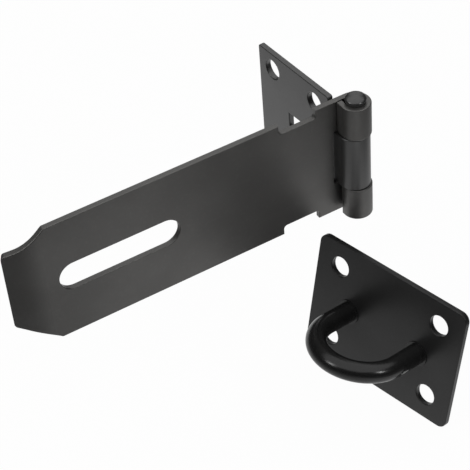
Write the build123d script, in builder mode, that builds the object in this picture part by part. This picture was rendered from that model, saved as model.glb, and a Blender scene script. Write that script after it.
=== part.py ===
from build123d import *
import math
import os

# Hinged hasp latch: a wall leaf, a slotted strap that swings on a headed pin,
# and the staple that the slot drops over, riveted into its own wall plate.
# X points out of the wall, Y along the leaf away from the pin, Z up along the pin.
# The origin is the centre of the leaf's screw holes, on its wall face.

# Strip that the leaf, the strap and the staple plate are cut from
strip_width = 44.0
sheet = 2.0
screw_hole_d = 7.0
edge_round = 0.3

# Rolled barrel
barrel_d = 9.0
wall_offset = 5.4
roll_end_gap = 0.3
lower_roll_end_gap = 2.0
strap_roll_play = 0.45
middle_knuckle = 20.1
knuckle_gap = 0.2
neck_gap = 0.5

# Pin
pin_clearance = 0.05
pin_head_d = 6.9
pin_head_seat_d = 6.3
pin_head_rise = 1.2
pin_head_dome = 1.2
pin_dome_fullness = 0.55
pin_foot_d = 6.8
pin_foot_dome = 0.6

# Wall leaf
leaf_width = 36.6
leaf_set_back = 6.9
leaf_hole_end_margin = 7.2
leaf_hole_edge_margin = 6.2
bolt_square = 6.2
leaf_corner_r = 0.8

# Strap
opening_angle = 86.2
strap_reach = 118.2
bend_setback = 10.9
bend_angle = 32.0
bend_r = 12.0
cove_length = 13.0
cove_r = 46.0
tip_inset = 8.0
tip_corner_r = 1.5
strap_corner_r = 0.8
slot_length = 40.9
slot_width = 9.8
slot_setback = 15.15
notch_start = 12.4
notch_end = 25.7
notch_depth = 3.3
notch_r = 1.2

# Staple and its plate
plate_width = 59.4
plate_corner_r = 3.0
plate_hole_end_margin = 9.45
plate_hole_edge_margin = 8.5
bar_d = 6.8
leg_spacing = 28.4
leg_length = 10.3
leg_drop = 0.8
tenon_d = 5.0
rivet_head_d = 6.6
rivet_clearance = 0.05
peen_angle = 45.0
collar_d = 8.4
collar_height = 0.4

# The staple stands by itself: the middle of its bottom wall edge, its turn about Z and its lean
staple_at = (-11.15, -55.19, -67.7)
staple_turn = -79.5
staple_lean = 12.9

os.makedirs("parts", exist_ok=True)

half_width = strip_width / 2
barrel_r = barrel_d / 2
bore_r = barrel_r - sheet
pin_r = bore_r - pin_clearance
pin_y = -(leaf_set_back + leaf_width / 2)
pin_axis = Vector(wall_offset, pin_y, 0)
strap_roll_r = barrel_r + strap_roll_play
outline_depth = 4 * wall_offset

# Directions along each strip, away from the pin, and out of its wall side
up = Vector(0, 0, 1)
leaf_along = Vector(0, 1, 0)
leaf_out = Vector(-1, 0, 0)
strap_along = leaf_along.rotate(Axis.Z, opening_angle)
strap_out = leaf_out.rotate(Axis.Z, opening_angle - 180)

# Sections lie level through the pin, outlines stand on the strips
leaf_section = Plane(pin_axis, x_dir=leaf_along, z_dir=up)
strap_section = Plane(pin_axis, x_dir=strap_along, z_dir=-up)
leaf_face = Plane(pin_axis, x_dir=leaf_along, z_dir=leaf_out)
strap_face = Plane(pin_axis, x_dir=strap_along, z_dir=strap_out)


def arc_about(centre, radius, start, end):
    """Arc about a centre, from one angle to another in degrees."""
    return CenterArc(centre, radius, start, end - start)


def rolled_section(roll_r, tip, bend=None):
    """Section of a strip rolled round the pin: x runs along the strip, y out of its wall side.

    The quarter beside the wall has its own centre, so that the strip stands off the barrel by
    its wall offset. The half after it is round about the pin, and the strip's end, which the
    roller can't bend, runs straight back towards the strip and stops a gap short of it.
    """
    roll_centre = (wall_offset - roll_r, 0)
    inner = wall_offset - sheet
    end = inner - roll_end_gap
    with BuildSketch() as section:
        with BuildLine():
            outer_roll = arc_about((0, 0), roll_r, 0, -180)
            outer_quarter = arc_about(roll_centre, wall_offset, 180, 90)
            inner_quarter = arc_about(roll_centre, inner, 90, 180)
            inner_roll = arc_about((0, 0), roll_r - sheet, -180, 0)
            Polyline(inner_roll @ 1, (roll_r - sheet, end), (roll_r, end), outer_roll @ 0)
            if bend is None:
                Polyline(outer_quarter @ 1, (tip, wall_offset), (tip, inner), inner_quarter @ 0)
            else:
                bend_centre = (bend, wall_offset + bend_r)
                outer_bend = arc_about(bend_centre, bend_r, -90, bend_angle - 90)
                inner_bend = arc_about(bend_centre, bend_r + sheet, -90, bend_angle - 90)
                Line(outer_quarter @ 1, outer_bend @ 0)
                Line(inner_quarter @ 0, inner_bend @ 0)
                lift = tip - (inner_bend @ 1).X
                inner_tip = PolarLine(inner_bend @ 1, lift, bend_angle, length_mode=LengthMode.HORIZONTAL)
                outer_tip = PolarLine(outer_bend @ 1, inner_tip.length, bend_angle)
                Line(inner_tip @ 1, outer_tip @ 1)
        make_face()
    return section.sketch


def rim_edges(part, out, along=strap_along, seams=()):
    """Edges round the flat faces square to a direction, less the seams where a strip starts to bend."""
    flat_faces = part.faces().filter_by(GeomType.PLANE)
    facing = flat_faces.filter_by(lambda face: abs(face.normal_at().dot(out)) > 0.999)
    return facing.edges().filter_by(
        lambda edge: all(abs((edge.center() - pin_axis).dot(along) - seam) > 0.01 for seam in seams)
    )


# Wall leaf: its middle knuckle turns on the pin
leaf_end = leaf_set_back + leaf_width
leaf_middle = (leaf_set_back + leaf_end) / 2
leaf_hole_spacing = leaf_width - 2 * leaf_hole_end_margin
leaf_hole_rise = strip_width - 2 * leaf_hole_edge_margin
with BuildPart() as fixed_leaf:
    with BuildSketch(leaf_section):
        add(rolled_section(barrel_r, leaf_end))
    extrude(amount=half_width, both=True)
    with BuildSketch(leaf_face) as leaf_outline:
        with Locations((leaf_middle, 0)):
            Rectangle(leaf_width, strip_width)
        fillet(leaf_outline.vertices(), leaf_corner_r)
        with Locations((-barrel_d, -middle_knuckle / 2)):
            Rectangle(barrel_d + leaf_set_back + leaf_corner_r, middle_knuckle, align=Align.MIN)
        with Locations((leaf_middle, 0)):
            with GridLocations(leaf_hole_spacing, leaf_hole_rise, 2, 2):
                Circle(screw_hole_d / 2, mode=Mode.SUBTRACT)
            Rectangle(bolt_square, bolt_square, mode=Mode.SUBTRACT)
    extrude(amount=outline_depth, both=True, mode=Mode.INTERSECT)
    fillet(rim_edges(fixed_leaf.part, leaf_out, leaf_along, [wall_offset - barrel_r]), edge_round)
fixed_leaf.part.label = "fixed_leaf"
export_step(fixed_leaf.part, "parts/fixed_leaf.step")

# Strap: two knuckles, a notch in each edge beside them, a long slot and a coved, lifted tip.
# The strip was sheared slanting, so the lower knuckle's end stops further short.
bend_line = strap_reach - bend_setback
cove_start = strap_reach - cove_length
slot_centre = strap_reach - slot_setback - slot_length / 2
bend_ends = [bend_line + radius * math.sin(math.radians(bend_angle)) for radius in (bend_r, bend_r + sheet)]
knuckle_opening = middle_knuckle + 2 * knuckle_gap
neck_edge = wall_offset / math.tan(math.radians(opening_angle / 2)) + neck_gap
notch_middle = (notch_start + notch_end) / 2
past_tip = strap_reach + sheet
tip_half = half_width - tip_inset
with BuildPart() as strap:
    with BuildSketch(strap_section):
        add(rolled_section(strap_roll_r, strap_reach, bend_line))
    extrude(amount=half_width, both=True)
    with BuildSketch(strap_section):
        with Locations((strap_roll_r - sheet / 2, wall_offset - sheet - lower_roll_end_gap)):
            Rectangle(2 * sheet, lower_roll_end_gap - roll_end_gap, align=(Align.CENTER, Align.MIN))
    extrude(amount=half_width, mode=Mode.SUBTRACT)
    with BuildSketch(strap_face) as strap_outline:
        with BuildLine():
            top_edge = Line((-barrel_d, half_width), (cove_start, half_width))
            top_cove = RadiusArc(top_edge @ 1, (strap_reach, tip_half), -cove_r)
            tip_top = Line(top_cove @ 1, (past_tip, tip_half))
            Line(tip_top @ 1, (past_tip, 0))
            mirror(about=Plane.XZ)
            Line((-barrel_d, half_width), (-barrel_d, -half_width))
        make_face()
        corners = strap_outline.vertices()
        fillet(corners.filter_by_position(Axis.X, cove_start - sheet, cove_start + sheet), strap_corner_r)
        with Locations((-barrel_d, -knuckle_opening / 2)):
            Rectangle(barrel_d + neck_edge, knuckle_opening, align=Align.MIN, mode=Mode.SUBTRACT)
        with Locations((notch_middle, half_width), (notch_middle, -half_width)):
            RectangleRounded(notch_end - notch_start, 2 * notch_depth, notch_r, mode=Mode.SUBTRACT)
        with Locations((slot_centre, 0)):
            SlotOverall(slot_length, slot_width, mode=Mode.SUBTRACT)
    extrude(amount=outline_depth, both=True, mode=Mode.INTERSECT)
    tip_end = strap.faces().sort_by(Axis(pin_axis, strap_along))[-1]
    fillet(tip_end.edges().sort_by(SortBy.LENGTH)[:2], tip_corner_r)
    tip_out = strap_out.rotate(Axis.Z, -bend_angle)
    strap_rim = rim_edges(strap.part, strap_out, strap_along, [wall_offset - strap_roll_r, bend_line])
    fillet(strap_rim + rim_edges(strap.part, tip_out, strap_along, bend_ends), edge_round)
strap.part.label = "strap"
export_step(strap.part, "parts/strap.step")

# Pin: a button head that tapers in to the top knuckle, a plain shank and a low peened foot
head_r = pin_head_d / 2
foot_r = pin_foot_d / 2
head_middle = half_width + pin_head_rise
head_top = head_middle + pin_head_dome
dome_reach = pin_dome_fullness * head_r
dome_turn = head_middle + pin_dome_fullness * pin_head_dome
with BuildPart() as hinge_pin:
    with BuildSketch(Plane(pin_axis, x_dir=(1, 0, 0), z_dir=(0, -1, 0))):
        with BuildLine():
            head_rim = (head_r, head_middle)
            head_dome = Bezier((0, head_top), (dome_reach, head_top), (head_r, dome_turn), head_rim)
            foot_dome = TangentArc((0, -half_width - pin_foot_dome), (foot_r, -half_width), tangent=(1, 0))
            Polyline(head_rim, (pin_head_seat_d / 2, half_width), (pin_r, half_width))
            Polyline((pin_r, half_width), (pin_r, -half_width), foot_dome @ 1)
            Line(head_dome @ 0, foot_dome @ 0)
        make_face()
    revolve(axis=Axis(pin_axis, up))
hinge_pin.part.label = "hinge_pin"
export_step(hinge_pin.part, "parts/hinge_pin.step")

# Staple plate: leans on its bottom wall edge, drilled for four screws and the two staple legs
plate_across = Vector(1, 0, 0).rotate(Axis.Z, staple_turn)
plate_front = Vector(0, -1, 0).rotate(Axis.X, -staple_lean).rotate(Axis.Z, staple_turn)
plate_rise = plate_front.cross(plate_across)
plate_hole_spacing = plate_width - 2 * plate_hole_end_margin
plate_hole_rise = strip_width - 2 * plate_hole_edge_margin
plate_centre = Vector(staple_at) + plate_rise * half_width
plate_wall = Plane(plate_centre, x_dir=plate_across, z_dir=plate_front)
plate_face = plate_wall.offset(sheet)
leg_spots = [(-leg_spacing / 2, -leg_drop), (leg_spacing / 2, -leg_drop)]
leg_hole_r = tenon_d / 2 + rivet_clearance
peen_depth = (rivet_head_d - tenon_d) / 2
with BuildPart() as staple_plate:
    with BuildSketch(plate_wall):
        RectangleRounded(plate_width, strip_width, plate_corner_r)
        with GridLocations(plate_hole_spacing, plate_hole_rise, 2, 2):
            Circle(screw_hole_d / 2, mode=Mode.SUBTRACT)
        with Locations(leg_spots):
            Circle(leg_hole_r, mode=Mode.SUBTRACT)
    extrude(amount=sheet)
    plate_rim = rim_edges(staple_plate.part, plate_front)
    round_rims = plate_rim.filter_by(GeomType.CIRCLE)
    leg_hole_rims = round_rims.filter_by(lambda edge: abs(edge.radius - leg_hole_r) < 0.01)
    fillet(plate_rim - leg_hole_rims, edge_round)
    with BuildSketch(plate_wall):
        with Locations(leg_spots):
            Circle(rivet_head_d / 2 + rivet_clearance)
    extrude(amount=peen_depth, taper=peen_angle, mode=Mode.SUBTRACT)
staple_plate.part.label = "staple_plate"
export_step(staple_plate.part, "parts/staple_plate.step")

# Staple: a bent round bar, set a little below the plate's middle, whose tenons pass through the plate
# and are peened flush with its wall side
loop_plane = Plane(plate_centre - plate_rise * leg_drop, x_dir=plate_across, z_dir=-plate_rise)
with BuildPart() as staple:
    with BuildLine(loop_plane) as bar_line:
        Line((-leg_spacing / 2, sheet), (-leg_spacing / 2, sheet + leg_length))
        crown = CenterArc((0, sheet + leg_length), leg_spacing / 2, 180, -180)
        Line(crown @ 1, (leg_spacing / 2, sheet))
    with BuildSketch(Plane(bar_line.wire() @ 0, z_dir=plate_front)):
        Circle(bar_d / 2)
    sweep()
    with BuildSketch(plate_face):
        with Locations(leg_spots):
            Circle(collar_d / 2)
    extrude(amount=collar_height)
    with BuildSketch(plate_wall):
        with Locations(leg_spots):
            Circle(tenon_d / 2)
    extrude(amount=sheet)
    with BuildSketch(plate_wall):
        with Locations(leg_spots):
            Circle(rivet_head_d / 2)
    extrude(amount=peen_depth, taper=peen_angle)
staple.part.label = "staple"
export_step(staple.part, "parts/staple.step")
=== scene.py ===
import math
import bpy
from mathutils import Euler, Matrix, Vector


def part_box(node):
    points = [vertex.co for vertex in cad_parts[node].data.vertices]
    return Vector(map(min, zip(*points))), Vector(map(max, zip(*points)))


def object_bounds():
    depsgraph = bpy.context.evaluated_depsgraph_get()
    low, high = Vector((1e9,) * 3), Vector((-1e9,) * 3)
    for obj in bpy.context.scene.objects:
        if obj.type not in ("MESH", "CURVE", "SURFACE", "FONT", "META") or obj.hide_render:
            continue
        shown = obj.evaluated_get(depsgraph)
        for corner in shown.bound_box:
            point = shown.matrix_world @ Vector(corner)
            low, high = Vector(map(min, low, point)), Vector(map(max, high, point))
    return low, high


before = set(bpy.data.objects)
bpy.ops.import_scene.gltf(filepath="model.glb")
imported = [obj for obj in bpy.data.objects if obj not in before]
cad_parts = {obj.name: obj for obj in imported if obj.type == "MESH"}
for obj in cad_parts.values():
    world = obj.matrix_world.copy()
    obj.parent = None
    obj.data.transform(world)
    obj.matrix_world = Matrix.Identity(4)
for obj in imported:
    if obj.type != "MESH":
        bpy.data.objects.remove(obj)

# A hasp latch for a barn door, cut and rolled from 2 mm steel strip and coated satin black.
# The leaf screws to the frame, the strap swings on a headed pin, and its slot drops over
# a bent bar staple that is riveted into a plate of its own.
cad_box = [list(corner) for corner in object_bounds()]


# Wall leaf
# Punched from strip, its middle knuckle rolled round the pin, then sprayed with dry powder and
# baked. The coat levels to a fine orange peel and thins over the long sheared edges, where a
# painted highlight also lightens a narrow band.
class Value:
    """A shader socket with the usual operators, so that shader maths reads as Python."""

    def __init__(self, tree, socket):
        self.tree = tree
        self.socket = socket

    def maths(self, operation, first, second=0.0):
        return node(self.tree, "ShaderNodeMath", {"operation": operation}, [first, second])

    def __add__(self, other):
        return self.maths("ADD", self, other)

    def __sub__(self, other):
        return self.maths("SUBTRACT", self, other)

    def __rsub__(self, other):
        return self.maths("SUBTRACT", other, self)

    def __mul__(self, other):
        return self.maths("MULTIPLY", self, other)

    def __abs__(self):
        return self.maths("ABSOLUTE", self)

    __radd__ = __add__
    __rmul__ = __mul__

    def ramp(self, low, high, to_low=0.0, to_high=1.0):
        """Smooth step of the value from low to high, carried onto to_low to to_high."""
        settings = {"interpolation_type": "SMOOTHSTEP"}
        return node(self.tree, "ShaderNodeMapRange", settings, [self, low, high, to_low, to_high])


def node(tree, kind, settings=None, inputs=(), output=0):
    """One node: its settings are set first, then its sockets, by number or by name."""
    made = tree.nodes.new(kind)
    for name, setting in (settings or {}).items():
        setattr(made, name, setting)
    pairs = inputs.items() if isinstance(inputs, dict) else enumerate(inputs)
    for key, given in pairs:
        if isinstance(given, Value):
            tree.links.new(given.socket, made.inputs[key])
        else:
            made.inputs[key].default_value = given
    return Value(tree, made.outputs[output])


def grain(place, size, detail=1.0):
    """Noise with features of that size, in metres."""
    sockets = {"Vector": place, "Scale": 1 / size, "Detail": detail}
    return node(place.tree, "ShaderNodeTexNoise", {}, sockets)


def blend(tree, share, first, second):
    """The colour that lies share of the way from first to second."""
    # A colour Mix node has its factor in socket 0, its two colours in 6 and 7, its result in 2.
    sockets = {0: share, 6: (*first, 1), 7: (*second, 1)}
    return node(tree, "ShaderNodeMix", {"data_type": "RGBA"}, sockets, output=2)


def powder_coat(
    name, colour, thin_coat_and_highlight_colour, satin, index, peel_size, peel_depth, edge_rise=0.0, tint=(1, 1, 1)
):
    """Powder coat over steel.

    The powder lies thinly in a broad cloud and in fine flecks. On the long edges, edge_rise above
    and below the middle of the strip, the coat thins too and a painted highlight is added there.
    In all these places the colour goes from colour to thin_coat_and_highlight_colour, and the
    roughness, elsewhere satin, drops by up to gloss_gain. The height is an orange peel of two
    noises, one of peel_size and a weaker one of a quarter of it, times peel_depth. index and
    tint are those of the clear skin. All lengths are in metres.
    """
    cloud_size = 0.022
    cloud_share = 0.45
    fleck_size = 0.0011
    fleck_share = 0.25
    edge_width = 0.0006
    edge_highlight_share = 0.2
    gloss_gain = 0.09
    fine_peel_share = 0.3
    coat = bpy.data.materials.new(name)
    coat.use_nodes = True
    tree = coat.node_tree
    place = node(tree, "ShaderNodeTexCoord", output="Object")
    cloud = grain(place, cloud_size, detail=3.0).ramp(0.35, 0.7)
    fleck = grain(place, fleck_size).ramp(0.5, 0.8)
    thin_coat_and_edge_highlight = cloud * cloud_share + fleck * fleck_share
    if edge_rise:
        height = node(tree, "ShaderNodeSeparateXYZ", {}, [place], output="Z")
        # Along the long edges: partly a thinner coat, partly a painted highlight that lightens
        # the colour.
        thin_coat_and_edge_highlight = thin_coat_and_edge_highlight + abs(height).ramp(edge_rise - edge_width, edge_rise, 0.0, edge_highlight_share)
    tone = blend(tree, thin_coat_and_edge_highlight, colour, thin_coat_and_highlight_colour)
    peel = grain(place, peel_size) + grain(place, peel_size / 4) * fine_peel_share
    relief = {"Strength": 1.0, "Distance": peel_depth, "Height": peel}
    bump = node(tree, "ShaderNodeBump", {}, relief)
    shader = tree.nodes["Principled BSDF"]
    varied = {"Base Color": tone, "Roughness": satin - thin_coat_and_edge_highlight * gloss_gain, "Normal": bump}
    for socket, value in varied.items():
        tree.links.new(value.socket, shader.inputs[socket])
    shader.inputs["IOR"].default_value = index
    shader.inputs["Specular Tint"].default_value = (*tint, 1)
    return coat


def dress(name, material):
    """Puts a material on a CAD node."""
    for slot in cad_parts[name].material_slots:
        slot.material = material


strip_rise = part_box("strap")[1][2]
leaf_coat = powder_coat(
    "leaf_coat",
    colour=(0.012, 0.012, 0.0118),
    thin_coat_and_highlight_colour=(0.026, 0.026, 0.025),
    satin=0.34,
    index=1.86,
    peel_size=0.0013,
    peel_depth=0.00001,
    edge_rise=strip_rise,
)
dress("fixed_leaf", leaf_coat)

# Strap
# Swings on the pin: two outer knuckles, a slot for the staple and a lifted tip for the thumb.
# Its face took the thickest coat, which baked to a softer satin with a faint warm cast. Its base
# colours are set lighter than the leaf's as painted light.
strap_coat = powder_coat(
    "strap_coat",
    colour=(0.02, 0.0196, 0.0188),
    thin_coat_and_highlight_colour=(0.045, 0.0441, 0.0423),
    satin=0.45,
    index=1.99,
    peel_size=0.0013,
    peel_depth=0.00001,
    edge_rise=strip_rise,
    tint=(1, 0.985, 0.96),
)
dress("strap", strap_coat)

# Hinge pin
# A headed steel pin, peened over at the foot before the coat went on, so that its dome carries
# the same black. The powder flowed out smoother on the turned head than on the sheet.
pin_coat = powder_coat(
    "pin_coat",
    colour=(0.014, 0.014, 0.014),
    thin_coat_and_highlight_colour=(0.03, 0.03, 0.03),
    satin=0.33,
    index=1.75,
    peel_size=0.0012,
    peel_depth=0.000002,
)
dress("hinge_pin", pin_coat)

# Staple plate
# The same strip, punched for four screws and the two legs. It was coated after riveting. Its base
# colours are set darker than the leaf's as painted shade, so it stays the darkest face.
plate_coat = powder_coat(
    "plate_coat",
    colour=(0.01, 0.01, 0.01),
    thin_coat_and_highlight_colour=(0.02, 0.02, 0.02),
    satin=0.38,
    index=1.45,
    peel_size=0.0013,
    peel_depth=0.00001,
)
dress("staple_plate", plate_coat)

# Staple
# Drawn round bar, bent hot to a half ring and riveted in. The smooth bar takes the powder to a
# glossier skin than the sheet does, with small highlights along the crown.
bar_coat = powder_coat(
    "bar_coat",
    colour=(0.008, 0.008, 0.008),
    thin_coat_and_highlight_colour=(0.016, 0.016, 0.016),
    satin=0.25,
    index=1.48,
    peel_size=0.0022,
    peel_depth=0.0000015,
)
dress("staple", bar_coat)


# Floor
# A wide sheet of pale paper on the studio table, level with the lowest edge of the staple
# plate. In reflections it shows a painted pool of light round the latch, with painted shade
# outside it.
def paper(
    name, colour, glow, gloss_glow, far_level, left_rim, right_rim, right_level, slant, front_rim
):
    """Matt paper. A camera sees it as part plain white, glow, so that the ground stays white.

    A reflection sees it as part gloss_glow a painted pool of light, a glow that is white inside
    and far_level outside, which is painted shade. The pool fades over each rim's two distances,
    in metres: the left and right ones along x, the right one down to right_level, and the front
    one along the direction slant.
    """
    sheet = bpy.data.materials.new(name)
    sheet.use_nodes = True
    tree = sheet.node_tree
    tree.nodes.remove(tree.nodes["Principled BSDF"])
    matt = node(tree, "ShaderNodeBsdfDiffuse", {}, {"Color": (*colour, 1)})
    white = node(tree, "ShaderNodeEmission", {}, {"Color": (1, 1, 1, 1), "Strength": 1.0})
    dim = node(tree, "ShaderNodeEmission", {}, {"Color": (1, 1, 1, 1), "Strength": far_level})
    by_camera = node(tree, "ShaderNodeLightPath", output="Is Camera Ray")
    by_gloss = node(tree, "ShaderNodeLightPath", output="Is Glossy Ray")
    place = node(tree, "ShaderNodeTexCoord", output="Object")
    x = node(tree, "ShaderNodeSeparateXYZ", {}, [place], output="X")
    y = node(tree, "ShaderNodeSeparateXYZ", {}, [place], output="Y")
    forward = x * slant[0] + y * slant[1]
    sides = x.ramp(*left_rim) * x.ramp(*right_rim, 1.0, right_level)
    pool = sides * forward.ramp(*front_rim, 1.0, 0.0)
    # Painted pool of light: emission, white in the pool and far_level outside, seen by
    # reflections.
    painted_pool_glow = node(tree, "ShaderNodeMixShader", {}, [pool, dim, white])
    mirrored = node(tree, "ShaderNodeMixShader", {}, [by_gloss * gloss_glow, matt, painted_pool_glow])
    mixed = node(tree, "ShaderNodeMixShader", {}, [by_camera * glow, mirrored, white])
    tree.links.new(mixed.socket, tree.nodes["Material Output"].inputs["Surface"])
    return sheet


table_paper = paper(
    "table_paper",
    colour=(0.85, 0.85, 0.85),
    glow=0.97,
    gloss_glow=0.88,
    far_level=0.08,
    left_rim=(-0.18, 0.02),
    right_rim=(0.02, 0.12),
    right_level=0.5,
    slant=(0.5, -0.87),
    front_rim=(0.092, 0.125),
)
floor_half = 3.0
floor_z = cad_box[0][2]
signs = ((-1, -1), (1, -1), (1, 1), (-1, 1))
corners = [(x * floor_half, y * floor_half, floor_z) for x, y in signs]
floor_mesh = bpy.data.meshes.new("floor")
floor_mesh.from_pydata(corners, [], [(0, 1, 2, 3)])
floor_mesh.materials.append(table_paper)
floor = bpy.data.objects.new("floor", floor_mesh)
bpy.context.scene.collection.objects.link(floor)

# Studio light
# A room that is white behind the latch and dim above it, with a wide softbox overhead and three
# small ones that draw the soft highlights on the bar, the pin's head and the upper edges.
world = bpy.data.worlds.new("white_room")
bpy.context.scene.world = world
world.use_nodes = True
room = world.node_tree
room_level = 0.04
seen = node(room, "ShaderNodeLightPath", output="Is Camera Ray")
level = seen * (1 - room_level) + room_level
room.links.new(level.socket, room.nodes["Background"].inputs["Strength"])
room.nodes["Background"].inputs["Color"].default_value = (1, 1, 1, 1)


def softbox(name, place, target, size, watts):
    """A round area lamp, size metres across, that faces a target."""
    lamp = bpy.data.lights.new(name, "AREA")
    lamp.shape = "DISK"
    lamp.size = size
    lamp.energy = watts
    box = bpy.data.objects.new(name, lamp)
    box.location = place
    box.rotation_euler = (Vector(target) - Vector(place)).to_track_quat("-Z", "Y").to_euler()
    bpy.context.scene.collection.objects.link(box)


middle = [(low + high) / 2 for low, high in zip(*cad_box)]
softbox("top_box", (-0.05, 0.0, 0.9), middle, size=2.1, watts=10.5)
softbox("back_box", (0.52, 0.62, 0.4), middle, size=0.56, watts=0.5)
softbox("left_box", (-0.82, 0.1, 0.54), middle, size=0.26, watts=1.4)
softbox("front_box", (0.2, -0.85, 0.5), middle, size=0.16, watts=1.25)

# Camera
# Set to the photograph's viewing angle: above and to the left of the strap's front face.
view_angles = (47.649, 3.645, -35.095)
camera = bpy.data.objects.new("camera", bpy.data.cameras.new("camera"))
bpy.context.scene.collection.objects.link(camera)
camera.location = (-0.23775, -0.34221, 0.33293)
camera.rotation_euler = Euler([math.radians(angle) for angle in view_angles])
camera.data.lens = 126.17
camera.data.shift_x = -0.00274
camera.data.shift_y = -0.00315
camera.data.clip_start = 0.01
bpy.context.scene.camera = camera
bpy.context.scene.view_settings.view_transform = "Standard"
